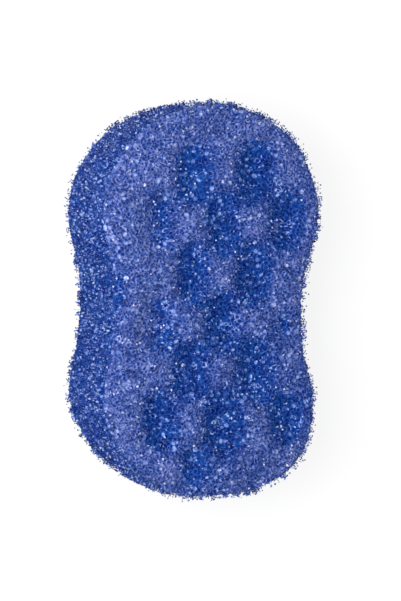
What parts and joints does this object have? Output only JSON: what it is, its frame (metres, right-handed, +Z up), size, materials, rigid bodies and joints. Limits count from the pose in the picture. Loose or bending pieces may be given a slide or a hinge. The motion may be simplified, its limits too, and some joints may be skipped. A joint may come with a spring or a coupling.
{
  "type": "bath sponge",
  "caption": "Waisted open-cell foam bath sponge, flat on its back and side walls, with a staggered field of soft hollows in its face.",
  "frame": {"origin": "middle of the flat back, on the surface that the sponge lies on", "axes": "+Z up through the thickness to the hollowed face, +Y along the length towards the round lobe, +X across"},
  "size_m": [0.087, 0.15, 0.048],
  "materials": {
    "foam": "coarse open-cell polyurethane foam, matte blue with small pale cell windows"
  },
  "bodies": {
    "root": {"sponge": "foam"}
  },
  "joints": []
}
